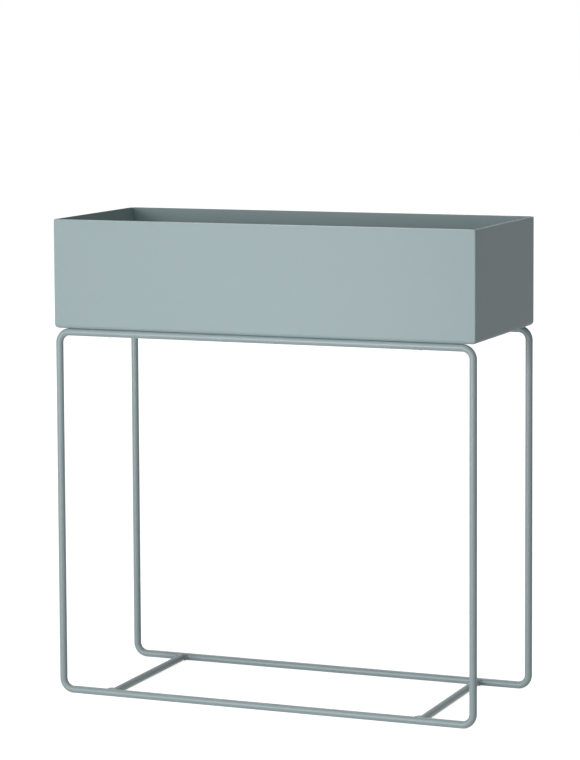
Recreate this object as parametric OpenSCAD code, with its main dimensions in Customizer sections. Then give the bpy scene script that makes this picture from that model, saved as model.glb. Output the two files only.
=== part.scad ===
// Raised planter: an open sheet-metal box bolted to a stand of bent round bar.
// The origin is on the floor, under the middle of the planter.
// +X is to the right, +Y is to the back and +Z is up.

/* [Planter box] */
// Length of the box and of the stand, left to right
box_length = 600; // [450:5:900]
// Depth of the box and of the stand, front to back
box_depth = 250; // [200:5:400]
// Height of the box, from its underside to its rim
box_height = 148; // [80:1:250]
// Thickness of the sheet metal
sheet = 1.5; // [1:0.1:2.5]
// Outer radius of the folds along the four bottom edges
fold_radius = 5.5; // [3:0.1:8]
// Outer radius of the four welded upright corners
corner_radius = 2; // [1:0.1:2.8]
// Radius of the weld inside the four upright corners
inner_corner_radius = 1; // [0.3:0.1:2]
// Number of drain holes along the middle of the floor
drain_count = 3; // [1:1:3]
// Distance between the middles of the drain holes
drain_spacing = 160; // [40:5:170]
// Diameter of the drain holes
drain_diameter = 10; // [6:0.5:16]

/* [Stand] */
// Height of the stand, from the floor to the underside of the box
stand_height = 502; // [250:1:900]
// Diameter of the round bar of the loops and crossbars
bar_diameter = 10; // [8:0.1:14]
// Radius of the loops' bends, at the middle of the bar
bend_radius = 15; // [10:0.5:40]
// Distance from each end of the planter to the middle of its crossbars
crossbar_inset = 78; // [60:1:120]
// Depth to which a crossbar's end is notched over the loop's bar
crossbar_notch = 1.5; // [0.5:0.1:3]

/* [Fixing lugs] */
// Distance from the crossbar's surface to the middle of a lug's hole
lug_hole_offset = 10; // [8.5:0.5:14]
// Distance from the middle of a lug's hole to the lug's free end
lug_end = 11; // [8:0.5:16]
// Width of a lug, along its crossbar
lug_width = 24; // [16:1:40]
// Thickness of a lug
lug_thickness = 3; // [2:0.5:5]
// Depth to which a lug's end is notched over its crossbar
lug_notch = 1.8; // [0.8:0.1:2.5]
// Distance from the middle of a loop's bar to the middle of a lug
lug_setback = 40; // [28:1:70]

/* [Fixing screws] */
// Thread diameter of the screws
screw_diameter = 6; // [4:0.5:7]
// Length of a screw under its head
screw_length = 16; // [14:1:25]
// Diameter of a screw's pan head
head_diameter = 12; // [10:0.5:14]
// Height of a screw's pan head
head_height = 3.6; // [2.6:0.1:5]
// Radius of the rounded edge on top of a pan head
head_rounding = 1.6; // [0.5:0.1:2.4]
// Length of each arm of the cross recess, end to end
recess_length = 5.4; // [3:0.1:6]
// Width of each arm of the cross recess
recess_width = 1.3; // [0.8:0.1:2]
// Depth of the cross recess
recess_depth = 2; // [1:0.1:2.4]
// Outer diameter of the washers
washer_diameter = 18; // [14:0.5:24]
// Thickness of the washers
washer_thickness = 1.6; // [0.8:0.1:2.5]
// Width across the flats of the nuts
nut_width = 10; // [9:0.5:13]
// Height of the nuts
nut_height = 5; // [3:0.1:6]
// Height of the chamfer on the corners of the nuts
nut_chamfer = 0.6; // [0.2:0.1:1]

/* [Clearances] */
// Gap all round between a screw and the holes that it passes through
screw_clearance = 0.4; // [0.2:0.1:1]
// Gap all round between a screw and the bore of its nut
thread_gap = 0.05; // [0.02:0.01:0.15]

/* [Hidden] */
$fn = 96;

coat_colour = [0.62, 0.69, 0.69];
zinc_colour = [0.72, 0.73, 0.74];

left = -1;
right = 1;
front = -1;
back = 1;

// Length by which a cutting shape runs past the faces that it cuts
overrun = 1;
// Number of flats on a nut
nut_flats = 6;

bar_radius = bar_diameter / 2;
rim_height = stand_height + box_height;
floor_top = stand_height + sheet;

// The loops stand in line with the box's faces, or as far in as the folds need
loop_inset = max(fold_radius - bar_radius, 0);
loop_y = box_depth / 2 - loop_inset - bar_radius;
lower_bar_z = bar_radius;
upper_bar_z = stand_height - bar_radius;
loop_middle_z = (lower_bar_z + upper_bar_z) / 2;
// Centres of a loop's bends, measured from the middle of the loop
bend_x = box_length / 2 - bar_radius - bend_radius;
bend_z = (upper_bar_z - lower_bar_z) / 2 - bend_radius;
crossbar_x = box_length / 2 - crossbar_inset;

lug_start = bar_radius - lug_notch;
lug_hole_reach = bar_radius + lug_hole_offset;
lug_length = lug_hole_reach + lug_end - lug_start;
screw_x = crossbar_x - lug_hole_reach;
screw_y = loop_y - lug_setback;
screw_hole = screw_diameter + 2 * screw_clearance;
washer_top = floor_top + washer_thickness;

// A block that is folded along its bottom edges and rounded at its upright corners
module folded_block(length, depth, height, fold, corner) {
    intersection() {
        translate([0, depth / 2, 0]) rotate([90, 0, 0])
            linear_extrude(depth) folded_profile(length, height, fold);
        translate([-length / 2, 0, 0]) rotate([90, 0, 90])
            linear_extrude(length) folded_profile(depth, height, fold);
        linear_extrude(height) rounded_plan(length, depth, corner);
    }
}

// Upright section of a folded block: square at the top, rounded at the bottom
module folded_profile(width, height, fold) {
    translate([-width / 2, fold]) square([width, height - fold]);
    translate([-width / 2 + fold, 0]) square([width - 2 * fold, height]);
    for (side = [left, right])
        translate([side * (width / 2 - fold), fold]) circle(fold);
}

// Plan of a folded block: a rectangle with rounded corners
module rounded_plan(length, depth, corner) {
    square([length - 2 * corner, depth], center = true);
    square([length, depth - 2 * corner], center = true);
    for (x = [left, right], y = [front, back])
        translate([x * (length / 2 - corner), y * (depth / 2 - corner)]) circle(corner);
}

// Places its children at each of the four fixing points
module at_fixings() {
    for (x = [left, right], y = [front, back])
        translate([x * screw_x, y * screw_y, 0]) children();
}

module planter_box() {
    color(coat_colour)
    difference() {
        translate([0, 0, stand_height])
            folded_block(box_length, box_depth, box_height, fold_radius, corner_radius);
        translate([0, 0, floor_top])
            folded_block(
                box_length - 2 * sheet, box_depth - 2 * sheet, box_height,
                fold_radius - sheet, inner_corner_radius
            );
        for (i = [0 : drain_count - 1])
            translate([(i - (drain_count - 1) / 2) * drain_spacing, 0, stand_height - overrun])
                cylinder(d = drain_diameter, h = sheet + 2 * overrun);
        at_fixings()
            translate([0, 0, stand_height - overrun])
                cylinder(d = screw_hole, h = sheet + 2 * overrun);
    }
}

// A straight round bar along X, centred on its middle
module bar_along_x(length) {
    rotate([0, 90, 0]) cylinder(r = bar_radius, h = length, center = true);
}

// A straight round bar along Y, centred on its middle
module bar_along_y(length) {
    rotate([90, 0, 0]) cylinder(r = bar_radius, h = length, center = true);
}

// A closed upright loop of round bar with four bends
module loop(side) {
    translate([0, side * loop_y, loop_middle_z]) {
        for (end = [-1, 1]) {
            translate([0, 0, end * (bend_z + bend_radius)]) bar_along_x(2 * bend_x);
            translate([end * (bend_x + bend_radius), 0, 0])
                cylinder(r = bar_radius, h = 2 * bend_z, center = true);
        }
        for (flip_x = [0, 1], flip_z = [0, 1])
            mirror([flip_x, 0, 0])
                mirror([0, 0, flip_z])
                    translate([bend_x, 0, bend_z]) loop_bend();
    }
}

// The bend at a loop's upper right corner, around the origin
module loop_bend() {
    rotate([90, 0, 0])
        rotate_extrude(angle = 90)
            translate([bend_radius, 0]) circle(bar_radius);
}

module front_loop() {
    color(coat_colour) loop(front);
}

module back_loop() {
    color(coat_colour) loop(back);
}

// A bar between the two loops, notched over them at both ends
module crossbar(side, height) {
    color(coat_colour)
    translate([side * crossbar_x, 0, height])
        difference() {
            bar_along_y(2 * (loop_y - bar_radius + crossbar_notch));
            for (end = [front, back])
                translate([0, end * loop_y, 0]) bar_along_x(2 * bar_diameter);
        }
}

module lower_left_crossbar() {
    crossbar(left, lower_bar_z);
}

module lower_right_crossbar() {
    crossbar(right, lower_bar_z);
}

module upper_left_crossbar() {
    crossbar(left, upper_bar_z);
}

module upper_right_crossbar() {
    crossbar(right, upper_bar_z);
}

// A flat lug on the inner side of an upper crossbar, with its hole under the box
module lug(side_x, side_y) {
    color(coat_colour)
    translate([side_x * crossbar_x, side_y * screw_y, 0])
        mirror([side_x == right ? 1 : 0, 0, 0])
            difference() {
                translate([lug_start, -lug_width / 2, stand_height - lug_thickness])
                    cube([lug_length, lug_width, lug_thickness]);
                translate([0, 0, upper_bar_z]) bar_along_y(lug_width + 2 * overrun);
                translate([lug_hole_reach, 0, stand_height - lug_thickness - overrun])
                    cylinder(d = screw_hole, h = lug_thickness + 2 * overrun);
            }
}

module front_left_lug() {
    lug(left, front);
}

module front_right_lug() {
    lug(right, front);
}

module back_left_lug() {
    lug(left, back);
}

module back_right_lug() {
    lug(right, back);
}

// A pan-head screw that hangs from the origin, with its head above it
module pan_screw() {
    difference() {
        rotate_extrude() {
            square([head_diameter / 2, head_height - head_rounding]);
            square([head_diameter / 2 - head_rounding, head_height]);
            translate([head_diameter / 2 - head_rounding, head_height - head_rounding])
                intersection() {
                    circle(head_rounding);
                    square(head_rounding);
                }
            translate([0, -screw_length]) square([screw_diameter / 2, screw_length]);
        }
        for (turn = [0, 90])
            rotate([0, 0, turn])
                translate([-recess_length / 2, -recess_width / 2, head_height - recess_depth])
                    cube([recess_length, recess_width, recess_depth + overrun]);
    }
}

module fixing_screws() {
    color(zinc_colour)
    at_fixings() translate([0, 0, washer_top]) pan_screw();
}

module fixing_washers() {
    color(zinc_colour)
    at_fixings() translate([0, 0, floor_top])
        difference() {
            cylinder(d = washer_diameter, h = washer_thickness);
            translate([0, 0, -overrun])
                cylinder(d = screw_hole, h = washer_thickness + 2 * overrun);
        }
}

// A hexagonal nut that stands on the origin, chamfered at both faces
module hex_nut() {
    corner = nut_width / 2 / cos(180 / nut_flats);
    difference() {
        intersection() {
            cylinder(r = corner, h = nut_height, $fn = nut_flats);
            rotate_extrude() nut_outline(corner);
        }
        translate([0, 0, -overrun])
            cylinder(r = screw_diameter / 2 + thread_gap, h = nut_height + 2 * overrun);
    }
}

// Half of a nut's upright section, out to its corners
module nut_outline(corner) {
    polygon([
        [0, 0], [nut_width / 2, 0], [corner, nut_chamfer],
        [corner, nut_height - nut_chamfer], [nut_width / 2, nut_height], [0, nut_height]
    ]);
}

module fixing_nuts() {
    color(zinc_colour)
    at_fixings() translate([0, 0, stand_height - lug_thickness - nut_height]) hex_nut();
}

planter_box();
front_loop();
back_loop();
lower_left_crossbar();
lower_right_crossbar();
upper_left_crossbar();
upper_right_crossbar();
front_left_lug();
front_right_lug();
back_left_lug();
back_right_lug();
fixing_screws();
fixing_washers();
fixing_nuts();
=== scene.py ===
# %% [markdown]
# # A raised planter in powder-coated steel
# The planter is an open sheet-metal box on a stand of bent round bar. The packed
# model gives every piece its size and place, and this lesson dresses it: each
# visible piece is modelled again with clean edges, welds and threads, and every
# surface gets a finish.

# %% Load the fixed frame
import bmesh
import bpy
import math
from mathutils import Matrix, Vector


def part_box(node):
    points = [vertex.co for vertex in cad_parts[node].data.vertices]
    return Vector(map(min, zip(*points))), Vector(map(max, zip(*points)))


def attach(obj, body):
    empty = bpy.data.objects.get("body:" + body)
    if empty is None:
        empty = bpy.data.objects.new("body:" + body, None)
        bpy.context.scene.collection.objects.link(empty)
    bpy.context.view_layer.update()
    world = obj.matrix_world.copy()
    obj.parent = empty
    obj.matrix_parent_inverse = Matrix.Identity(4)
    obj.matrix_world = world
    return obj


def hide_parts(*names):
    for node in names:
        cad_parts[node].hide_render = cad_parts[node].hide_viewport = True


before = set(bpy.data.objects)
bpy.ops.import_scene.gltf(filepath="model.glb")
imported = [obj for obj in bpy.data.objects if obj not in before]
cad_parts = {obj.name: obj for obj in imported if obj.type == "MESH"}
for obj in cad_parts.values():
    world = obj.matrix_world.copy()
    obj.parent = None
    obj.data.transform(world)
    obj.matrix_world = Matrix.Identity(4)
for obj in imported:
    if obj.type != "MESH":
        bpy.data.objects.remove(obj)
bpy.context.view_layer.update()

# %% [markdown]
# ## The planter's measures
# Everything is in metres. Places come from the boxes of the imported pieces, so that
# nothing here has to be fitted. A few sizes can't be read from a box, such as the
# thickness of the sheet, the bar and the radius of a fold, and they are named here.

# %% Sizes that a box can't give
MM = 0.001
SHEET = 1.5 * MM
FOLD_RADIUS = 5.5 * MM
CORNER_RADIUS = 2 * MM
INNER_CORNER_RADIUS = 1 * MM
BAR_RADIUS = 5 * MM
BEND_RADIUS = 15 * MM
CROSSBAR_NOTCH = 1.5 * MM
DRAIN_SPACING = 160 * MM
DRAIN_RADIUS = 5 * MM
LUG_THICKNESS = 3 * MM
LUG_END = 11 * MM
SCREW_HOLE_RADIUS = 3.4 * MM
WASHER_RADIUS = 9 * MM
WASHER_THICKNESS = 1.6 * MM
HEAD_RADIUS = 6 * MM
HEAD_HEIGHT = 3.6 * MM
NUT_WIDTH = 10 * MM
NUT_HEIGHT = 5 * MM
print("sheet", SHEET, "bar", 2 * BAR_RADIUS, "m thick")

# %% [markdown]
# ### Places
# Every piece of the stand meets another one, so a few planes and lines place them all:
# the underside of the box, the middle of a bar, the line of a crossbar and the axis of
# a screw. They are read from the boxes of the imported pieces.

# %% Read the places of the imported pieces
def corners(node):
    low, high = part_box(node)
    return Vector(low), Vector(high)


box_low, box_high = corners("planter_box")
loop_low, loop_high = corners("back_loop")
crossbar_low, crossbar_high = corners("lower_right_crossbar")
lug_low, lug_high = corners("front_right_lug")
screws_low, screws_high = corners("fixing_screws")

BOX_WIDTH = box_high.x - box_low.x
BOX_DEPTH = box_high.y - box_low.y
BOX_UNDERSIDE = box_low.z
BOX_FLOOR = BOX_UNDERSIDE + SHEET
RIM = box_high.z
LEG_X = BOX_WIDTH / 2 - BAR_RADIUS
LOOP_Y = (loop_low.y + loop_high.y) / 2
LOWER_BAR = BAR_RADIUS
UPPER_BAR = BOX_UNDERSIDE - BAR_RADIUS
CROSSBAR_X = (crossbar_low.x + crossbar_high.x) / 2
SCREW_X = lug_low.x + LUG_END
SCREW_Y = -(lug_low.y + lug_high.y) / 2
print("box", BOX_WIDTH, BOX_DEPTH, RIM - BOX_UNDERSIDE)
print("screws at x, y", SCREW_X, SCREW_Y)

# %% [markdown]
# ## Camera
# The planter is seen from a little to the right and from just above its rim, with
# a long lens from nearly four metres away. A small downward shift keeps its upright
# edges almost parallel.

# %% Place the camera
CAMERA_PLACE = Vector((1.4676, -3.6381, 0.9315))
CAMERA_TURN = math.radians(22.05)
CAMERA_TILT = math.radians(5.13)
CAMERA_ROLL = math.radians(-0.30)
CAMERA_LENS = 137.85
CAMERA_SHIFT = -0.145


def clear_selection():
    bpy.ops.object.select_all(action="DESELECT")


clear_selection()
bpy.ops.object.camera_add()
camera = bpy.context.object
camera.name = "camera"
camera.matrix_world = (
    Matrix.Translation(CAMERA_PLACE)
    @ Matrix.Rotation(CAMERA_TURN, 4, "Z")
    @ Matrix.Rotation(math.pi / 2 - CAMERA_TILT, 4, "X")
    @ Matrix.Rotation(CAMERA_ROLL, 4, "Z")
)
camera.data.lens = CAMERA_LENS
camera.data.shift_y = CAMERA_SHIFT
bpy.context.scene.camera = camera
bpy.context.scene.view_settings.view_transform = "Standard"
print("camera", round(camera.location.length, 2), "m from the origin")

# %% [markdown]
# ## Shader arithmetic
# A finish is easier to read as arithmetic than as a web of nodes. `Value` wraps one
# number that varies over a surface, and adding or multiplying it adds a Math node.
# Numbers may stand on either side of the sign, as in `1 - mask`.

# %% Arithmetic on shader values
class Value:
    """A number that varies over a surface. Arithmetic on it adds Math nodes."""

    def __init__(self, owner, socket):
        self.owner = owner
        self.socket = socket

    def math(self, operation, *terms):
        sockets = dict(enumerate(terms))
        return self.owner.node("ShaderNodeMath", {"operation": operation}, sockets)

    def __add__(self, other):
        return self.math("ADD", self, other)

    def __radd__(self, other):
        return self.math("ADD", other, self)

    def __sub__(self, other):
        return self.math("SUBTRACT", self, other)

    def __rsub__(self, other):
        return self.math("SUBTRACT", other, self)

    def __mul__(self, other):
        return self.math("MULTIPLY", self, other)

    def __rmul__(self, other):
        return self.math("MULTIPLY", other, self)


# %% [markdown]
# ### One way to add nodes
# A material and the world are both a tree of nodes that ends in a shader. One method
# adds any node: it makes the node, sets it up, and then fills or links its sockets. The
# arithmetic above goes through it too.

# %% A tree that adds its own nodes
class NodeTree:
    """The nodes of a material or a world, and the shader that they end in."""

    def __init__(self, owner, shader_name):
        owner.use_nodes = True
        self.tree = owner.node_tree
        self.shader = self.tree.nodes[shader_name]

    def node(self, kind, settings=None, sockets=None, output=0):
        """Makes a node: its settings first, then the values or links of its sockets."""
        node = self.tree.nodes.new(kind)
        for name, setting in (settings or {}).items():
            setattr(node, name, setting)
        for name, term in (sockets or {}).items():
            self.join(term, node.inputs[name])
        return Value(self, node.outputs[output])

    def join(self, term, socket):
        if isinstance(term, Value):
            self.tree.links.new(term.socket, socket)
        else:
            socket.default_value = term

    def feed(self, **inputs):
        """Joins values to the shader's inputs, by name."""
        for name, term in inputs.items():
            self.join(term, self.shader.inputs[name.replace("_", " ")])


# %% [markdown]
# ### Finishes
# `Finish` is a material round one Principled shader. Short methods make the noise, the
# mixes and the bumps that the coat and the plating share, so that a finish further on
# is only a few lines long. A Mix node has a set of sockets for each kind of data under
# the same names, so the ones for colours are found by their numbers.

# %% A material with short ways to noise, mixes and bumps
MIX_SHARE = 0
MIX_FIRST = 6
MIX_SECOND = 7
MIX_RESULT = 2


class Finish(NodeTree):
    """A node material around one Principled shader."""

    def __init__(self, name, colour, roughness, metallic=0.0):
        self.material = bpy.data.materials.new(name)
        super().__init__(self.material, "Principled BSDF")
        self.shader.inputs["Base Color"].default_value = (*colour, 1)
        self.shader.inputs["Roughness"].default_value = roughness
        self.shader.inputs["Metallic"].default_value = metallic

    def place(self):
        return self.node("ShaderNodeTexCoord", output="Object")

    def noise(self, place, size, detail=2.0, roughness=0.5):
        """Cloudy noise from 0 to 1 with lumps of about the given size."""
        return self.node(
            "ShaderNodeTexNoise", {"noise_dimensions": "3D"},
            {"Vector": place, "Scale": 1 / size, "Detail": detail, "Roughness": roughness},
        )

    def mix_colours(self, share, first, second):
        """Mixes two colours. Each is a tuple or a colour from another node."""
        paints = [c if isinstance(c, Value) else (*c, 1) for c in (first, second)]
        return self.node(
            "ShaderNodeMix", {"data_type": "RGBA"},
            {MIX_SHARE: share, MIX_FIRST: paints[0], MIX_SECOND: paints[1]},
            output=MIX_RESULT,
        )

    def bump(self, height, distance):
        """Turns a height into relief, where a height of 1 is distance deep."""
        return self.node("ShaderNodeBump", sockets={"Height": height, "Distance": distance})


print("shader tools ready")

# %% [markdown]
# ## Studio
# The planter stands on a plain pale floor. The floor is white where the camera or a
# reflection sees it, by a glow that lights nothing else. Round the planter the glow is
# weaker, because the lamps light the floor there, and under a full glow the planter's
# soft shadow would be lost.

# %% Make the floor
BLACK = (0, 0, 0)
WHITE = (1, 1, 1)
FLOOR_SIZE = 30
FLOOR_COLOUR = (0.82, 0.82, 0.82)
FLOOR_ROUGHNESS = 0.9
FLOOR_GLOW = 0.86
FAR_FLOOR_GLOW = 1.0
POOL_RADIUS = 1.4
POOL_EDGE = 3.2


def seen_directly(nodes):
    """1 for camera, glossy and transmission rays, 0 for the rest."""
    ray_kinds = ("Is Camera Ray", "Is Glossy Ray", "Is Transmission Ray")
    seen = 0
    for kind in ray_kinds:
        ray = nodes.node("ShaderNodeLightPath", output=kind)
        seen = ray.math("MAXIMUM", ray, seen)
    return seen


def floor_finish():
    finish = Finish("studio_floor", FLOOR_COLOUR, FLOOR_ROUGHNESS)
    finish.shader.inputs["Specular IOR Level"].default_value = 0.0
    finish.shader.inputs["Emission Strength"].default_value = 1.0
    distance = finish.node(
        "ShaderNodeVectorMath", {"operation": "LENGTH"}, {0: finish.place()}, output="Value"
    )
    glow = finish.node(
        "ShaderNodeMapRange", {"interpolation_type": "SMOOTHSTEP"},
        {"Value": distance, "From Min": POOL_RADIUS, "From Max": POOL_EDGE,
         "To Min": FLOOR_GLOW, "To Max": FAR_FLOOR_GLOW},
    )
    share = glow * seen_directly(finish)
    finish.feed(Emission_Color=finish.mix_colours(share, BLACK, WHITE))
    return finish


clear_selection()
bpy.ops.mesh.primitive_plane_add(size=FLOOR_SIZE, location=(0, 0, 0))
floor = bpy.context.object
floor.name = "studio_floor"
floor.data.materials.append(floor_finish().material)
print("floor", FLOOR_SIZE, "m across")

# %% [markdown]
# ### The world
# The world's light is weak and comes from all round, so that no side goes black and the
# lamps draw the shadows. Seen directly it is as white as the floor, and the two meet
# without a line.

# %% Make the white surroundings
WORLD_LEVEL = 0.07


def studio_world():
    world = bpy.data.worlds.new("studio_world")
    nodes = NodeTree(world, "Background")
    nodes.shader.inputs["Color"].default_value = (*WHITE, 1)
    nodes.feed(Strength=WORLD_LEVEL + (1 - WORLD_LEVEL) * seen_directly(nodes))
    return world


bpy.context.scene.world = studio_world()
print("world", WORLD_LEVEL)

# %% [markdown]
# ### Soft lights
# A broad panel stands in front, a little to the left and hardly higher than the rim, so
# the front is bright, the right-hand end is darker and the inside of the box is darker
# still. A high panel on the same side and one overhead lighten the rim and the inside, a
# small one close by evens out the front, and one behind keeps the back from going dark.
# The others are large, so shadows are soft, and all are weak enough for a colour to look
# as written.

# %% Hang the soft lights
TARGET = Vector((0, 0, 0.45))


def soft_panel(name, azimuth, distance, height, width, tall, watts):
    """A rectangular light that faces the planter. Azimuth 0 is in front, + is right."""
    turn = math.radians(azimuth)
    place = Vector((math.sin(turn), -math.cos(turn), 0)) * distance
    place.z = height
    clear_selection()
    bpy.ops.object.light_add(type="AREA", location=place)
    panel = bpy.context.object
    panel.name = name
    panel.rotation_euler = (place - TARGET).to_track_quat("Z", "Y").to_euler()
    panel.data.shape = "RECTANGLE"
    panel.data.size = width
    panel.data.size_y = tall
    panel.data.energy = watts
    print(name, watts, "W")


soft_panel("low_key", azimuth=-19.5, distance=5.0, height=0.75, width=1.0, tall=1.6, watts=119)
soft_panel("high_key", azimuth=-30, distance=3.9, height=3.6, width=1.8, tall=1.8, watts=31)
soft_panel("top_fill", azimuth=60, distance=1.2, height=3.0, width=2.0, tall=2.0, watts=12)
soft_panel("front_fill", azimuth=5, distance=0.7, height=0.48, width=0.4, tall=0.3, watts=0.6)
soft_panel("back_fill", azimuth=-150, distance=4.0, height=4.2, width=2.0, tall=2.0, watts=42)

# %% [markdown]
# ## Working by hand
# These helpers do what a hand does in the window: take one piece and nothing else, go
# into edit mode, and pick vertices, edges or faces by their place.

# %% Helpers for selecting
def take(piece):
    clear_selection()
    piece.select_set(True)
    bpy.context.view_layer.objects.active = piece


def middle(part):
    """The middle of a mesh's face or edge, or the place of a vertex."""
    if hasattr(part, "co"):
        return part.co.copy()
    return sum((vertex.co for vertex in part.verts), Vector()) / len(part.verts)


def pick(piece, kind, wanted):
    """Goes into edit mode and selects the vertices, edges or faces that are wanted."""
    if piece.mode != "EDIT":
        take(piece)
        bpy.ops.object.mode_set(mode="EDIT")
    bpy.ops.mesh.select_mode(type=kind)
    bpy.ops.mesh.select_all(action="DESELECT")
    shape = bmesh.from_edit_mesh(piece.data)
    parts = {"VERT": shape.verts, "EDGE": shape.edges, "FACE": shape.faces}[kind]
    for part in parts:
        if wanted(part):
            part.select_set(True)
    bmesh.update_edit_mesh(piece.data)


def leave_edit_mode():
    bpy.ops.object.mode_set(mode="OBJECT")


# %% [markdown]
# ### Modifiers and cuts
# A modifier is applied as soon as it is set, so that the next step works on the real
# mesh. A boolean is such a modifier, with another piece as its tool, and the tool is
# thrown away after the cut. Settling a piece puts its place, turn and size into its
# mesh, so that it sits at the origin.

# %% Helpers for modifiers, cuts and settling
def use_modifier(piece, kind, **settings):
    """Adds a modifier, gives it its settings and applies it."""
    take(piece)
    bpy.ops.object.modifier_add(type=kind)
    modifier = piece.modifiers[-1]
    for name, setting in settings.items():
        setattr(modifier, name, setting)
    bpy.ops.object.modifier_apply(modifier=modifier.name)


def cut(piece, tool, operation="DIFFERENCE"):
    """Cuts a piece with a tool, or joins or intersects the two."""
    use_modifier(piece, "BOOLEAN", object=tool, operation=operation, solver="EXACT")
    bpy.data.objects.remove(tool, do_unlink=True)


def settle(piece):
    """Puts a piece's place, turn and size into its mesh."""
    take(piece)
    bpy.ops.object.transform_apply(location=True, rotation=True, scale=True)


# %% [markdown]
# ### Copies and finished pieces
# What repeats is modelled once and copied, each copy with its own mesh. A finished piece
# sits at the origin with its place in its mesh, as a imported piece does, so that a
# pattern on object coordinates runs on from piece to piece. Faces that meet at a small
# angle are shaded smooth, and weighted normals keep the flat ones flat.

# %% Helpers that copy a piece and set it down finished
SMOOTH_ANGLE = math.radians(32)


def changed_copy(piece, change):
    """A copy of a settled piece with its own mesh, moved or mirrored by a matrix."""
    take(piece)
    bpy.ops.object.duplicate(linked=False)
    copy = bpy.context.object
    copy.matrix_world = change
    settle(copy)
    return copy


def set_down(piece, name, slot, finish, *nodes):
    """Names a finished piece, gives it its finish and puts it in place of nodes."""
    settle(piece)
    piece.name = name
    piece.data.name = name
    piece.data.materials.clear()
    piece.data.materials.append(finish.material)
    bpy.ops.object.shade_smooth_by_angle(angle=SMOOTH_ANGLE)
    use_modifier(piece, "WEIGHTED_NORMAL", mode="FACE_AREA", keep_sharp=True)
    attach(piece, "root")
    if nodes:
        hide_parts(*nodes)
    print(name, len(piece.data.polygons), "faces")


# %% [markdown]
# ## Powder coat
# The whole planter has a matt, dusty blue-green coat. The pigment is very slightly
# cloudy, so the colour drifts between a bluer and a greener grey, and a fine grain
# makes it a little paler. All of it follows object coordinates, so it runs on across
# the pieces as the real coat does.

# %% Mix the colour of the coat
COAT_BLUE = (0.351, 0.447, 0.479)
COAT_GREEN = (0.372, 0.465, 0.465)
COAT_PALE = (0.394, 0.490, 0.498)
CLOUD_SIZE = 90 * MM
CLOUD_SHARE = 0.6
DRIFT_SIZE = 14 * MM
GRAIN_PALENESS = 0.22


def coat_tint(coat, place, grain, shade):
    """The drifting colour of the powder, paler with the grain and dimmed to shade."""
    clouds = coat.noise(place, CLOUD_SIZE, detail=3)
    drift = coat.noise(place, DRIFT_SIZE, detail=3, roughness=0.6)
    hue = clouds * CLOUD_SHARE + drift * (1 - CLOUD_SHARE)
    tint = coat.mix_colours(hue, COAT_BLUE, COAT_GREEN)
    tint = coat.mix_colours(grain * GRAIN_PALENESS, tint, COAT_PALE)
    return coat.mix_colours(shade, BLACK, tint)


# %% [markdown]
# ### Orange peel
# Powder flows out in the oven into a fine orange peel, with a finer grain on top and now
# and then a speck of dust under the skin. Each speck is the middle of a cell of a
# Voronoi pattern, where the distance to the cell's point is close to nothing.

# %% Raise the peel, the grain and the specks
GRAIN_RELIEF = 0.35
NIB_SPACING = 26 * MM
NIB_RADIUS = 0.016  # a share of their spacing
NIB_RELIEF = 1.4


def coat_relief(coat, place, peel, grain):
    """The height of the coat's surface, where 1 is the depth of the peel."""
    specks = coat.node(
        "ShaderNodeTexVoronoi", {"distance": "EUCLIDEAN"},
        {"Vector": place, "Scale": 1 / NIB_SPACING},
    )
    nibs = coat.node(
        "ShaderNodeMapRange", {"interpolation_type": "SMOOTHSTEP"},
        {"Value": specks, "From Min": 0.0, "From Max": NIB_RADIUS,
         "To Min": 1.0, "To Max": 0.0},
    )
    return peel + grain * GRAIN_RELIEF + nibs * NIB_RELIEF


# %% [markdown]
# ### Two coats
# Along the rim the coat is smoother, and a band just below its top is painted paler,
# a painted highlight on the rim's edge. The round bars of the stand hold less powder
# than the flat sheet, and their coat is a little darker and glossier, so the coat is mixed
# twice.

# %% Mix the coat for the box and for the stand
GRAIN_SIZE = 0.45 * MM
SHEEN_SPREAD = 0.06
RIM_BAND_DEPTH = 1.1 * MM
RIM_ROUNDING = 0.4 * MM
PAINTED_RIM_HIGHLIGHT = 0.5
EDGE_SMOOTHNESS = 0.34


def powder_coat(name, peel_size, peel_depth, shade, roughness, gloss):
    """Powder coat, dimmed to shade, with an orange peel of the given size and depth."""
    coat = Finish(name, COAT_GREEN, roughness)
    coat.shader.inputs["Specular IOR Level"].default_value = gloss
    place = coat.place()
    grain = coat.noise(place, GRAIN_SIZE, detail=1)
    peel = coat.noise(place, peel_size, detail=2)
    tint = coat_tint(coat, place, grain, shade)
    height = coat.node("ShaderNodeSeparateXYZ", sockets={"Vector": place}, output="Z")
    # A band just below the rim is painted paler, a painted highlight on the rim's edge, and is
    # made smoother there too.
    rim_highlight_and_smoothing = coat.node(
        "ShaderNodeMapRange", {"interpolation_type": "SMOOTHSTEP"},
        {"Value": height, "From Min": RIM - RIM_BAND_DEPTH, "From Max": RIM - RIM_ROUNDING,
         "To Min": 0.0, "To Max": 1.0},
    )
    coat.feed(
        Base_Color=coat.mix_colours(rim_highlight_and_smoothing * PAINTED_RIM_HIGHLIGHT, tint, COAT_PALE),
        Roughness=(roughness + peel * SHEEN_SPREAD + grain * SHEEN_SPREAD
                   - rim_highlight_and_smoothing * EDGE_SMOOTHNESS),
        Normal=coat.bump(coat_relief(coat, place, peel, grain), peel_depth),
    )
    return coat


box_coat = powder_coat(
    "box_powder_coat", peel_size=1.5 * MM, peel_depth=0.035 * MM,
    shade=1.0, roughness=0.44, gloss=0.18,
)
stand_coat = powder_coat(
    "stand_powder_coat", peel_size=1.2 * MM, peel_depth=0.03 * MM,
    shade=0.86, roughness=0.32, gloss=0.48,
)
print("coat:", len(box_coat.tree.nodes), "nodes")

# %% [markdown]
# ## Zinc plating
# The screws, washers and nuts are plated. Zinc has a bluish, slightly cloudy metal
# colour with a hint of yellow where the passivation is thicker, and fine crystals
# that show in its shine. Two noises, one for the clouds and one for the crystals, are
# enough for such small pieces.

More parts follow.
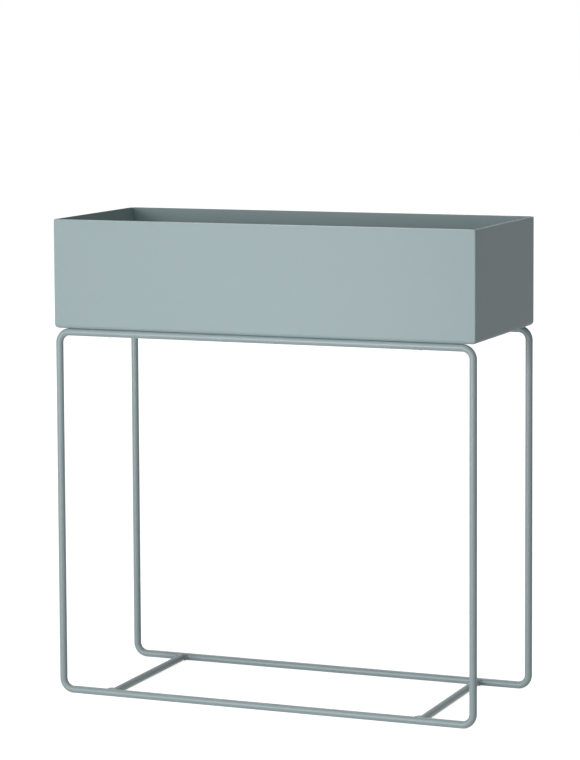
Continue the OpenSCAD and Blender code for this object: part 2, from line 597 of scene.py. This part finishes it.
# %% Mix the zinc plating
ZINC_BLUE = (0.60, 0.64, 0.68)
ZINC_YELLOW = (0.70, 0.68, 0.58)
ZINC_ROUGHNESS = 0.24
ZINC_RELIEF = 0.012 * MM
BLOOM_SIZE = 4 * MM
BLOOM_YELLOWNESS = 0.7
BLOOM_ROUGHNESS = 0.14
BLOOM_RELIEF = 0.5
CRYSTAL_SIZE = 0.3 * MM
CRYSTAL_ROUGHNESS = 0.08


def zinc_plating():
    zinc = Finish("zinc_plating", ZINC_BLUE, ZINC_ROUGHNESS, metallic=1.0)
    place = zinc.place()
    bloom = zinc.noise(place, BLOOM_SIZE, detail=3)
    crystals = zinc.noise(place, CRYSTAL_SIZE, detail=2)
    zinc.feed(
        Base_Color=zinc.mix_colours(bloom * BLOOM_YELLOWNESS, ZINC_BLUE, ZINC_YELLOW),
        Roughness=ZINC_ROUGHNESS + bloom * BLOOM_ROUGHNESS + crystals * CRYSTAL_ROUGHNESS,
        Normal=zinc.bump(crystals + bloom * BLOOM_RELIEF, ZINC_RELIEF),
    )
    return zinc


zinc = zinc_plating()
print("plating:", len(zinc.tree.nodes), "nodes")

# %% [markdown]
# ## The planter box
# The real box is one sheet, folded up along its four bottom edges and welded at its
# upright corners. Here the outside is a cube with weighted bevels, broad along the
# folds and narrow at the corners. The inside is a second such block, one sheet
# thickness smaller, and a boolean takes it out, which leaves walls of an even
# thickness with a folded edge inside and out. A tool runs past what it cuts by a few
# millimetres, and two heights that differ by less than a sliver count as one.

# %% A block with folded bottom edges
OVERRUN = 3 * MM
SLIVER = 0.02 * MM
CUT_TOLERANCE = SLIVER / 20
MERGE_DISTANCE = SLIVER / 4
FOLD_STEPS = 10


def is_upright(edge):
    first, second = edge.verts
    return abs(first.co.z - second.co.z) > OVERRUN


def add_block(size, place):
    """A cube with the given size along X, Y and Z."""
    clear_selection()
    bpy.ops.mesh.primitive_cube_add(size=1, location=place, scale=size)
    block = bpy.context.object
    settle(block)
    return block


def folded_block(width, depth, low, high, fold, corner):
    """A solid block, rounded by fold along its bottom and by corner at its uprights."""
    block = add_block((width, depth, high - low), (0, 0, (low + high) / 2))
    pick(block, "EDGE", lambda edge: all(v.co.z < low + SLIVER for v in edge.verts))
    bpy.ops.transform.edge_bevelweight(value=1.0)
    pick(block, "EDGE", is_upright)
    bpy.ops.transform.edge_bevelweight(value=corner / fold)
    leave_edit_mode()
    use_modifier(block, "BEVEL", limit_method="WEIGHT", width=fold, segments=FOLD_STEPS)
    return block


# %% [markdown]
# ### Round tools
# The holes are punched in the flat sheet before it is folded. Here a cylinder cuts each
# one out of the finished floor, which leaves the same clean round edge. The same rods
# are the start of the bars, the heads and the washers further on.

# %% Round drills for the holes
HOLE_SIDES = 64


def add_rod(radius, length, place, along="Z", sides=HOLE_SIDES):
    """A cylinder along X, Y or Z, centred on its place."""
    turns = {"X": (0, math.pi / 2, 0), "Y": (math.pi / 2, 0, 0), "Z": (0, 0, 0)}
    clear_selection()
    bpy.ops.mesh.primitive_cylinder_add(
        vertices=sides, radius=radius, depth=length, location=place, rotation=turns[along]
    )
    rod = bpy.context.object
    settle(rod)
    return rod


def drill(piece, x, y, radius, low, high):
    """Drills an upright hole from low to high."""
    cut(piece, add_rod(radius, high - low + 2 * OVERRUN, (x, y, (low + high) / 2)))


# %% [markdown]
# ### The pan and its holes
# The inner block comes out of the outer one. Three drain holes lie along the middle of
# the floor, and four holes for the fixing screws stand above the lugs.

# %% Form the box
box_shell = folded_block(
    BOX_WIDTH, BOX_DEPTH, BOX_UNDERSIDE, RIM, FOLD_RADIUS, CORNER_RADIUS
)
hollow = folded_block(
    BOX_WIDTH - 2 * SHEET, BOX_DEPTH - 2 * SHEET, BOX_FLOOR, RIM + OVERRUN,
    FOLD_RADIUS - SHEET, INNER_CORNER_RADIUS,
)
cut(box_shell, hollow)
for x in (-DRAIN_SPACING, 0, DRAIN_SPACING):
    drill(box_shell, x, 0, DRAIN_RADIUS, BOX_UNDERSIDE, BOX_FLOOR)
for x in (-SCREW_X, SCREW_X):
    for y in (-SCREW_Y, SCREW_Y):
        drill(box_shell, x, y, SCREW_HOLE_RADIUS, BOX_UNDERSIDE, BOX_FLOOR)
print("box faces:", len(box_shell.data.polygons))

# %% [markdown]
# ### Rim and corners
# Powder gathers on a sheared edge, so the rim's flat top has two softly rounded edges.
# The four corners are welded and dressed with a file, which takes a little off the
# rim there. A move with proportional editing pulls each corner of the rim down by
# that little and leaves the rest where it is.

# %% Round the rim and dress its corners
CORNER_DRESSING = 0.7 * MM
DRESSED_LENGTH = 2 * MM
HOLE_ROUNDING = 0.25 * MM
WALL_TILT = 0.5  # a wall's normal points up or down by less than this
SHARP_ANGLE = 1.0  # radians between the faces at a hole's mouth


def on_rim(edge):
    """Whether an edge runs along the outer or inner side of the rim's flat top."""
    level = all(vertex.co.z > RIM - SLIVER for vertex in edge.verts)
    return level and any(abs(face.normal.z) < WALL_TILT for face in edge.link_faces)


def on_hole(edge):
    """Whether an edge runs round the mouth of a hole in the floor."""
    near_floor = all(v.co.z < BOX_FLOOR + SLIVER for v in edge.verts)
    inside = all(abs(v.co.x) < SCREW_X + DRAIN_RADIUS for v in edge.verts)
    inside = inside and all(abs(v.co.y) < SCREW_Y + DRAIN_RADIUS for v in edge.verts)
    sharp = len(edge.link_faces) == 2 and edge.calc_face_angle() > SHARP_ANGLE
    return near_floor and inside and sharp


for axis, length in ((0, BOX_WIDTH), (1, BOX_DEPTH)):
    for side in (-1, 1):
        for inset in (DRESSED_LENGTH, 2 * DRESSED_LENGTH, 4 * DRESSED_LENGTH):
            place = Vector()
            normal = Vector()
            place[axis] = side * (length / 2 - inset)
            normal[axis] = 1
            pick(box_shell, "FACE", lambda face: middle(face).z > BOX_FLOOR + FOLD_RADIUS)
            bpy.ops.mesh.bisect(plane_co=place, plane_no=normal, threshold=CUT_TOLERANCE)
pick(box_shell, "EDGE", on_rim)
bpy.ops.mesh.bevel(offset=RIM_ROUNDING, segments=4, affect="EDGES", clamp_overlap=False)
for x in (-BOX_WIDTH / 2, BOX_WIDTH / 2):
    for y in (-BOX_DEPTH / 2, BOX_DEPTH / 2):
        corner = Vector((x, y, RIM))
        pick(box_shell, "VERT", lambda v: (v.co - corner).length < CORNER_RADIUS)
        bpy.ops.transform.translate(
            value=(0, 0, -CORNER_DRESSING), use_proportional_edit=True,
            proportional_edit_falloff="SMOOTH", proportional_size=DRESSED_LENGTH,
        )
pick(box_shell, "EDGE", on_hole)
bpy.ops.mesh.bevel(offset=HOLE_ROUNDING, segments=2, affect="EDGES", clamp_overlap=False)
leave_edit_mode()
set_down(box_shell, "box_shell", "box_coat", box_coat, "planter_box")

# %% [markdown]
# ## The front and back loops
# Each loop is one bar, bent four times and closed by a weld that is ground away. A
# plane gets its four corners rounded by a vertex bevel, loses its face and becomes a
# closed curve, and the curve's bevel gives it the thickness of the bar.

# %% Bend the two loops
BEND_STEPS = 20
BAR_ROUNDNESS = 16


def thicken(piece, radius):
    """Turns a wire into a round bar by way of a curve."""
    take(piece)
    bpy.ops.object.convert(target="CURVE")
    wire = bpy.context.object
    wire.data.bevel_depth = radius
    wire.data.bevel_resolution = BAR_ROUNDNESS
    bpy.ops.object.convert(target="MESH")
    return bpy.context.object


def bent_loop(y):
    clear_selection()
    bpy.ops.mesh.primitive_plane_add(
        size=1, location=(0, y, (LOWER_BAR + UPPER_BAR) / 2),
        rotation=(math.pi / 2, 0, 0),
    )
    loop = bpy.context.object
    loop.scale = (2 * LEG_X, UPPER_BAR - LOWER_BAR, 1)
    settle(loop)
    pick(loop, "VERT", lambda vertex: True)
    bpy.ops.mesh.bevel(
        offset=BEND_RADIUS, segments=BEND_STEPS, affect="VERTICES", clamp_overlap=False
    )
    bpy.ops.mesh.select_all(action="SELECT")
    bpy.ops.mesh.delete(type="ONLY_FACE")
    leave_edit_mode()
    return thicken(loop, BAR_RADIUS)


front_bar = bent_loop(-LOOP_Y)
back_bar = bent_loop(LOOP_Y)
set_down(front_bar, "front_bar_loop", "stand_coat", stand_coat, "front_loop")
set_down(back_bar, "back_bar_loop", "stand_coat", stand_coat, "back_loop")

# %% [markdown]
# ## The crossbars
# A crossbar is a straight length of the same bar. Its ends are notched over the
# loops, so it is a cylinder with two more cylinders cut out of it. It is made once
# and copied to its four places.

# %% Cut and copy the crossbars
BAR_SIDES = 2 * (BAR_ROUNDNESS + 1)


def notched_crossbar(x, z):
    reach = LOOP_Y - BAR_RADIUS + CROSSBAR_NOTCH
    bar = add_rod(BAR_RADIUS, 2 * reach, (x, 0, z), "Y", BAR_SIDES)
    for y in (-LOOP_Y, LOOP_Y):
        cut(bar, add_rod(BAR_RADIUS, 4 * BAR_RADIUS, (x, y, z), "X", BAR_SIDES))
    return bar


crossbar = notched_crossbar(-CROSSBAR_X, LOWER_BAR)
move_right = Matrix.Translation((2 * CROSSBAR_X, 0, 0))
move_up = Matrix.Translation((0, 0, UPPER_BAR - LOWER_BAR))
crossbars = {
    "lower_right": changed_copy(crossbar, move_right),
    "upper_left": changed_copy(crossbar, move_up),
    "upper_right": changed_copy(crossbar, move_right @ move_up),
    "lower_left": crossbar,
}
for place, bar in crossbars.items():
    set_down(bar, f"{place}_cross_rod", "stand_coat", stand_coat, f"{place}_crossbar")

# %% [markdown]
# ## Weld beads at the crossbars
# Where a crossbar meets a loop, a bead of weld runs all round it. Weld metal flows into
# both bars, so a ring that is pushed onto them would look wrong. Short stubs of both
# bars are joined to the bead, a voxel remesh melts them into one skin, and smoothing
# makes the hollows soft as weld metal is. The stubs are a hair thinner than the bars,
# so only the bead shows.

# %% Tools for weld metal
BEAD_RADIUS = 1.8 * MM
MELT_GRAIN = 0.36 * MM
MELT_PASSES = 4
MELT_STRENGTH = 0.5
LUMP_SIZE = 2.2 * MM
LUMP_DEPTH = 0.5 * MM
UNDERSIZE = 0.06 * MM
GRINDING_ALLOWANCE = 0.03 * MM


def melt(parts):
    """Joins closed parts into one smooth skin."""
    clear_selection()
    for part in parts:
        part.select_set(True)
    bpy.context.view_layer.objects.active = parts[0]
    bpy.ops.object.join()
    skin = bpy.context.object
    use_modifier(skin, "REMESH", mode="VOXEL", voxel_size=MELT_GRAIN)
    use_modifier(skin, "SMOOTH", factor=MELT_STRENGTH, iterations=MELT_PASSES)
    return skin


def grind(piece, height, facing):
    """Cuts a piece off level at a height. Facing is -1 for below and 1 for above."""
    pick(piece, "FACE", lambda face: True)
    bpy.ops.mesh.bisect(
        plane_co=(0, 0, height), plane_no=(0, 0, facing), clear_outer=True,
        use_fill=True, threshold=CUT_TOLERANCE,
    )
    leave_edit_mode()


def roughen(piece):
    """Gives weld metal its uneven, lumpy surface."""
    lumps = bpy.data.textures.new("weld_lumps", "CLOUDS")
    lumps.noise_scale = LUMP_SIZE
    use_modifier(
        piece, "DISPLACE", texture=lumps, texture_coords="LOCAL",
        strength=LUMP_DEPTH, mid_level=0.5,
    )


# %% [markdown]
# ### One joint
# The bead follows the line where the two round bars meet, which swings towards the
# loop above and below the crossbar. It is a closed curve with a round bevel, fatter on
# one side, and its top and bottom points are pulled towards the loop.

# %% Lay one bead round a crossbar's end
BEAD_SIDE = 5.5 * MM
BEAD_TOP = 4.0 * MM
BEAD_PULL = 2.3 * MM
BEAD_OFFSET = 0.3 * MM
BEAD_STEPS = 5
RING_STEPS = 16
FAT_SIDE = 1.55


def bead_ring(joint):
    """A bead round a crossbar that leaves the front loop towards the back."""
    clear_selection()
    place = joint + Vector((0, BAR_RADIUS + BEAD_OFFSET, 0))
    bpy.ops.curve.primitive_bezier_circle_add(
        radius=BEAD_SIDE, location=place, rotation=(math.pi / 2, 0, 0)
    )
    ring = bpy.context.object
    ring.scale = (1, BEAD_TOP / BEAD_SIDE, 1)
    settle(ring)
    bpy.ops.object.mode_set(mode="EDIT")
    bpy.ops.curve.select_all(action="DESELECT")
    for point in ring.data.splines[0].bezier_points:
        point.radius = FAT_SIDE if point.co.x > joint.x + SLIVER else 1
        if abs(point.co.x - joint.x) < SLIVER:
            point.select_control_point = True
            point.select_left_handle = True
            point.select_right_handle = True
    bpy.ops.transform.translate(value=(0, -BEAD_PULL, 0))
    leave_edit_mode()
    ring.data.bevel_depth = BEAD_RADIUS
    ring.data.bevel_resolution = BEAD_STEPS
    ring.data.resolution_u = RING_STEPS
    bpy.ops.object.convert(target="MESH")
    return bpy.context.object


# %% [markdown]
# ### The joint melts together
# At the lower joints the welder drew the bead out along the loop on its other side, so
# there it ends in a long low toe, a stretched sphere. The upper joints have no toe. All
# beads are ground level with the bars, because the stand rests on the lower bars and the
# box on the upper ones.

# %% Melt and grind one joint
TOE_PLACE = Vector((-3.0, 7.0, 2.2)) * MM
TOE_SIZE = Vector((8.0, 4.2, 3.1)) * MM
STUB_LENGTH = 15 * MM


def drawn_toe(joint):
    clear_selection()
    bpy.ops.mesh.primitive_uv_sphere_add(
        segments=24, ring_count=16, radius=1, location=joint + TOE_PLACE, scale=TOE_SIZE
    )
    toe = bpy.context.object
    settle(toe)
    return toe


def crossbar_weld(joint, with_toe):
    thin = BAR_RADIUS - UNDERSIZE
    loop_stub = add_rod(thin, 2 * STUB_LENGTH, joint, "X", BAR_SIDES)
    middle_of_stub = joint + Vector((0, STUB_LENGTH / 2, 0))
    crossbar_stub = add_rod(thin, STUB_LENGTH, middle_of_stub, "Y", BAR_SIDES)
    bead = bead_ring(joint)
    roughen(bead)
    parts = [bead, loop_stub, crossbar_stub]
    if with_toe:
        parts.append(drawn_toe(joint))
    skin = melt(parts)
    grind(skin, GRINDING_ALLOWANCE, -1)
    return skin


front_left_joint = Vector((-CROSSBAR_X, -LOOP_Y, LOWER_BAR))
drawn_weld = crossbar_weld(front_left_joint, with_toe=True)
plain_weld = crossbar_weld(front_left_joint, with_toe=False)
print("one weld:", len(drawn_weld.data.polygons), "faces")

# %% [markdown]
# ### Eight joints
# Both ends of the stand are welded alike, so one joint does for all. The back mirrors
# the front, the right is the left moved across, and the upper joints are upside down. A
# mirrored mesh is inside out, so its normals are made to point outwards again.

# %% Copy the weld to all eight joints
mirror_back = Matrix.Scale(-1, 4, (0, 1, 0))
mirror_up = Matrix.Translation((0, 0, BOX_UNDERSIDE)) @ Matrix.Scale(-1, 4, (0, 0, 1))


def outward_copy(piece, change):
    """A changed copy, with its faces turned outwards again if it was mirrored."""
    copy = changed_copy(piece, change)
    pick(copy, "FACE", lambda face: True)
    bpy.ops.mesh.normals_make_consistent(inside=False)
    leave_edit_mode()
    return copy


joints = {
    "front_left": Matrix.Identity(4), "back_left": mirror_back,
    "front_right": move_right, "back_right": move_right @ mirror_back,
}
for place, change in joints.items():
    lower = outward_copy(drawn_weld, change)
    upper = outward_copy(plain_weld, mirror_up @ change)
    set_down(lower, f"lower_{place}_weld", "stand_coat", stand_coat)
    set_down(upper, f"upper_{place}_weld", "stand_coat", stand_coat)
bpy.data.objects.remove(drawn_weld, do_unlink=True)
bpy.data.objects.remove(plain_weld, do_unlink=True)

# %% [markdown]
# ## Fixing lugs
# Four flat lugs on the upper crossbars carry the screws. Each is cut from flat bar
# with rounded free corners and a hole, and its other end is notched over the
# crossbar. Here it is a block with two bevelled corners, cut by a rod the size of the
# crossbar, drilled, and softened along its edges.

# %% Make a lug
LUG_CORNER = 2.5 * MM
LUG_EDGE = 0.4 * MM
CORNER_STEPS = 8
EDGE_STEPS = 3
EDGE_ANGLE = math.radians(40)
NOTCH_TOOL_LENGTH = 60 * MM


def is_upright_lug_edge(edge):
    first, second = edge.verts
    return abs(first.co.z - second.co.z) > LUG_THICKNESS / 2


def fixing_lug():
    """The front right lug. Its free end points to the middle of the planter."""
    low, high = lug_low, lug_high
    lug = add_block(high - low, (low + high) / 2)
    pick(lug, "EDGE", lambda edge: is_upright_lug_edge(edge) and middle(edge).x < SCREW_X)
    bpy.ops.mesh.bevel(offset=LUG_CORNER, segments=CORNER_STEPS, affect="EDGES")
    leave_edit_mode()
    bar_place = (CROSSBAR_X, -SCREW_Y, UPPER_BAR)
    cut(lug, add_rod(BAR_RADIUS, NOTCH_TOOL_LENGTH, bar_place, "Y", BAR_SIDES))
    drill(lug, SCREW_X, -SCREW_Y, SCREW_HOLE_RADIUS, low.z, high.z)
    use_modifier(
        lug, "BEVEL", limit_method="ANGLE", angle_limit=EDGE_ANGLE,
        width=LUG_EDGE, segments=EDGE_STEPS, use_clamp_overlap=True,
    )
    return lug


# %% [markdown]
# ### The lug's weld
# The hollow between the lug's underside and the round crossbar is filled with a straight
# bead. It is a short rod with rounded ends, and it melts into a stub of the crossbar and
# a strip of the plate as the other welds do.

# %% Lay the bead under a lug
LUG_BEAD_SIDES = 20
LUG_BEAD_MARGIN = 3 * MM
LUG_BEAD_OUT = 0.8 * MM
LUG_BEAD_DOWN = 0.5 * MM
BEAD_END_ROUNDING = 0.8 * BEAD_RADIUS
STUB_OVERHANG = 4 * MM
STRIP_WIDTH = 6 * MM
STRIP_OUT = 2 * MM


def lug_weld():
    """A bead in the hollow between the front right lug's underside and its crossbar."""
    width = lug_high.y - lug_low.y
    underside = lug_low.z
    seat = underside - UPPER_BAR
    hollow_x = CROSSBAR_X - math.sqrt(BAR_RADIUS ** 2 - seat ** 2)
    bead_place = (hollow_x - LUG_BEAD_OUT, -SCREW_Y, underside - LUG_BEAD_DOWN)
    bead = add_rod(BEAD_RADIUS, width - LUG_BEAD_MARGIN, bead_place, "Y", LUG_BEAD_SIDES)
    pick(bead, "EDGE", lambda edge: abs(edge.verts[0].co.y - edge.verts[1].co.y) < SLIVER)
    bpy.ops.mesh.bevel(offset=BEAD_END_ROUNDING, segments=4, affect="EDGES")
    leave_edit_mode()
    use_modifier(bead, "REMESH", mode="VOXEL", voxel_size=MELT_GRAIN)
    roughen(bead)
    bar_place = (CROSSBAR_X, -SCREW_Y, UPPER_BAR)
    stub_length = width + STUB_OVERHANG
    bar_stub = add_rod(BAR_RADIUS - UNDERSIZE, stub_length, bar_place, "Y", BAR_SIDES)
    strip_size = (STRIP_WIDTH, width - 2 * LUG_EDGE, LUG_THICKNESS - 2 * UNDERSIZE)
    strip_place = (hollow_x - STRIP_OUT, -SCREW_Y, underside + LUG_THICKNESS / 2)
    strip = add_block(strip_size, strip_place)
    skin = melt([bead, bar_stub, strip])
    grind(skin, BOX_UNDERSIDE - GRINDING_ALLOWANCE, 1)
    return skin


# %% [markdown]
# ### Four lugs
# The front right lug and its bead are made, and mirrored to the other three places. They
# are set down last themselves, because the copies are taken from them.

# %% Set the lugs in place
front_right_lug = fixing_lug()
front_right_lug_weld = lug_weld()
mirror_left = Matrix.Scale(-1, 4, (1, 0, 0))
lug_changes = {
    "front_left": mirror_left, "back_right": mirror_back,
    "back_left": mirror_left @ mirror_back,
}
for place, change in lug_changes.items():
    lug = outward_copy(front_right_lug, change)
    bead = outward_copy(front_right_lug_weld, change)
    set_down(lug, f"{place}_plate_lug", "stand_coat", stand_coat, f"{place}_lug")
    set_down(bead, f"{place}_lug_weld", "stand_coat", stand_coat)
set_down(
    front_right_lug, "front_right_plate_lug", "stand_coat", stand_coat, "front_right_lug"
)
set_down(front_right_lug_weld, "front_right_lug_weld", "stand_coat", stand_coat)

# %% [markdown]
# ## Screws
# Each lug takes an M6 pan-head screw with a cross recess. The real thread is rolled.
# Here it starts as one short upright edge, pushed out to a V, which the Screw modifier
# turns round the axis and up. A rod with a chamfered end trims it.

# %% The thread's profile and the rod that trims it
THREAD_PITCH = 1 * MM
THREAD_CREST = 2.95 * MM
THREAD_ROOT = 2.42 * MM
TIP_CHAMFER = 0.7 * MM
HEAD_OVERLAP = OVERRUN / 6
HEAD_TOP = screws_high.z
HEAD_SEAT = HEAD_TOP - HEAD_HEIGHT
SCREW_TIP = screws_low.z


def at_height(height):
    """A test for vertices and edges that lie at a height."""
    return lambda part: abs(middle(part).z - height) < SLIVER


def thread_edge(start):
    """An upright edge, one pitch high, with its middle pushed out to a V."""
    clear_selection()
    bpy.ops.mesh.primitive_plane_add(
        size=THREAD_PITCH, location=(THREAD_ROOT - THREAD_PITCH / 2, 0, start),
        rotation=(math.pi / 2, 0, 0),
    )
    profile = bpy.context.object
    settle(profile)
    pick(profile, "VERT", lambda vertex: vertex.co.x < THREAD_ROOT - SLIVER)
    bpy.ops.mesh.delete(type="VERT")
    pick(profile, "EDGE", lambda edge: True)
    bpy.ops.mesh.subdivide(number_cuts=3)
    pick(profile, "VERT", at_height(start))
    bpy.ops.transform.translate(value=(THREAD_CREST - THREAD_ROOT, 0, 0))
    leave_edit_mode()
    return profile


def trimming_rod():
    """A rod as thick as the thread, with a chamfer at the screw's tip."""
    length = HEAD_SEAT + HEAD_OVERLAP - SCREW_TIP
    rod = add_rod(THREAD_CREST + SLIVER, length, (0, 0, SCREW_TIP + length / 2))
    pick(rod, "EDGE", at_height(SCREW_TIP))
    bpy.ops.mesh.bevel(offset=TIP_CHAMFER, segments=1, affect="EDGES")
    leave_edit_mode()
    return rod


# %% [markdown]
# ### From edge to thread
# The Screw modifier leaves one turn lying on the next, so their shared vertices are
# merged. The ends are closed by two level cuts, and the rod is intersected with the
# thread to chamfer its tip.

# %% Turn the edge into a threaded shank
THREAD_STEPS = 32
SPARE_TURNS = 2


def threaded_shank():
    """An M6 thread round the Z axis, from the head's seat down to its tip."""
    shank = thread_edge(SCREW_TIP - THREAD_PITCH)
    turns = math.ceil((HEAD_SEAT - SCREW_TIP) / THREAD_PITCH) + SPARE_TURNS
    use_modifier(
        shank, "SCREW", axis="Z", angle=2 * math.pi, screw_offset=THREAD_PITCH,
        iterations=turns, steps=THREAD_STEPS, render_steps=THREAD_STEPS,
    )
    pick(shank, "VERT", lambda vertex: True)
    bpy.ops.mesh.remove_doubles(threshold=MERGE_DISTANCE)
    leave_edit_mode()
    for height, facing in ((SCREW_TIP - SLIVER, -1), (HEAD_SEAT + HEAD_OVERLAP, 1)):
        grind(shank, height, facing)
    pick(shank, "FACE", lambda face: True)
    bpy.ops.mesh.normals_make_consistent(inside=False)
    leave_edit_mode()
    cut(shank, trimming_rod(), "INTERSECT")
    return shank


screw = threaded_shank()
print("thread:", len(screw.data.polygons), "faces")

# %% [markdown]
# ### The head
# The real head is pressed from the end of the wire, and its cross is punched. Here it is
# a cylinder with a rounded top edge, and two blocks, narrower at the bottom, cut the
# tapered cross out of it. A union makes head and thread one piece.

# %% Turn the head and cut its cross
HEAD_ROUNDING = 1.6 * MM
HEAD_EDGE = 0.15 * MM
RECESS_LENGTH = 5.4 * MM
RECESS_WIDTH = 1.3 * MM
RECESS_DEPTH = 2 * MM
RECESS_TAPER = 0.62
HEAD_STEPS = 8


def pan_head():
    head = add_rod(HEAD_RADIUS, HEAD_HEIGHT, (0, 0, HEAD_TOP - HEAD_HEIGHT / 2))
    pick(head, "EDGE", at_height(HEAD_TOP))
    bpy.ops.mesh.bevel(offset=HEAD_ROUNDING, segments=HEAD_STEPS, affect="EDGES")
    pick(head, "EDGE", at_height(HEAD_SEAT))
    bpy.ops.mesh.bevel(offset=HEAD_EDGE, segments=2, affect="EDGES")
    leave_edit_mode()
    bottom = HEAD_TOP - RECESS_DEPTH
    height = RECESS_DEPTH + OVERRUN
    for size in ((RECESS_LENGTH, RECESS_WIDTH, height), (RECESS_WIDTH, RECESS_LENGTH, height)):
        arm = add_block(size, (0, 0, bottom + height / 2))
        pick(arm, "VERT", at_height(bottom))
        bpy.ops.transform.resize(value=(RECESS_TAPER, RECESS_TAPER, 1))
        leave_edit_mode()
        cut(head, arm)
    return head


cut(screw, pan_head(), "UNION")
print("one screw:", len(screw.data.polygons), "faces")

# %% [markdown]
# ## Washers
# A stamped washer under each head spreads the load over the thin floor. It is a short
# rod, drilled, and its edges are found by their angle and rounded.

# %% Model one washer
WASHER_EDGE = 0.2 * MM


def flat_washer():
    low = BOX_FLOOR
    high = low + WASHER_THICKNESS
    washer = add_rod(WASHER_RADIUS, WASHER_THICKNESS, (0, 0, (low + high) / 2))
    drill(washer, 0, 0, SCREW_HOLE_RADIUS, low, high)
    use_modifier(
        washer, "BEVEL", limit_method="ANGLE", angle_limit=EDGE_ANGLE,
        width=WASHER_EDGE, segments=EDGE_STEPS,
    )
    return washer


washer = flat_washer()
print("washer:", len(washer.data.polygons), "faces")

# %% [markdown]
# ## Nuts
# A hexagon nut under each lug holds the screw. It is a six-sided cylinder intersected
# with a round one that has chamfered ends, which gives the curved chamfers of a real
# nut. The six-sided one is a hair taller, so that no two faces lie in one plane.

# %% Model one nut
NUT_CHAMFER = 0.6 * MM
NUT_FACE_SHARE = 0.95
NUT_BORE = 3.05 * MM
BORE_CHAMFER = 0.35 * MM


def on_bore(edge):
    """Whether an edge runs round the mouth of the nut's bore."""
    near = all(v.co.xy.length < NUT_BORE + SLIVER for v in edge.verts)
    return near and abs(edge.verts[0].co.z - edge.verts[1].co.z) < SLIVER


def hexagon_nut():
    high = lug_low.z
    low = high - NUT_HEIGHT
    place = (0, 0, (low + high) / 2)
    corner_radius = NUT_WIDTH / 2 / math.cos(math.pi / 6)
    nut = add_rod(corner_radius, NUT_HEIGHT + 2 * SLIVER, place, sides=6)
    turned = add_rod(corner_radius + SLIVER, NUT_HEIGHT, place)
    for height in (low, high):
        pick(turned, "EDGE", at_height(height))
        bpy.ops.mesh.bevel(offset=NUT_CHAMFER, segments=1, affect="EDGES")
        pick(turned, "VERT", at_height(height))
        shrink = NUT_FACE_SHARE * NUT_WIDTH / 2 / (corner_radius - NUT_CHAMFER)
        bpy.ops.transform.resize(value=(shrink, shrink, 1))
    leave_edit_mode()
    cut(nut, turned, "INTERSECT")
    drill(nut, 0, 0, NUT_BORE, low, high)
    pick(nut, "EDGE", on_bore)
    bpy.ops.mesh.bevel(offset=BORE_CHAMFER, segments=1, affect="EDGES")
    leave_edit_mode()
    return nut


nut = hexagon_nut()
print("nut:", len(nut.data.polygons), "faces")

# %% [markdown]
# ### Four of each
# The screw, the washer and the nut are copied to the four lugs, each turned by its
# own angle, because nobody lines them up by hand. The four copies are joined, so that
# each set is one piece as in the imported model.

# %% Set the fixings in place
FIXING_TURNS = (17, 64, -38, 5)
NUT_TURN = 11


def at_fixings(piece, extra_turn=0):
    """Copies a piece to the four fixing points and joins the copies."""
    places = [(x, y) for x in (-SCREW_X, SCREW_X) for y in (-SCREW_Y, SCREW_Y)]
    copies = []
    for (x, y), angle in zip(places, FIXING_TURNS):
        turn = Matrix.Rotation(math.radians(angle + extra_turn), 4, "Z")
        copies.append(outward_copy(piece, Matrix.Translation((x, y, 0)) @ turn))
    bpy.data.objects.remove(piece, do_unlink=True)
    clear_selection()
    for copy in copies:
        copy.select_set(True)
    bpy.context.view_layer.objects.active = copies[0]
    bpy.ops.object.join()
    return bpy.context.object


set_down(at_fixings(screw), "pan_head_screws", "zinc_fasteners", zinc, "fixing_screws")
set_down(at_fixings(washer), "flat_washers", "zinc_fasteners", zinc, "fixing_washers")
set_down(at_fixings(nut, NUT_TURN), "hexagon_nuts", "zinc_fasteners", zinc, "fixing_nuts")
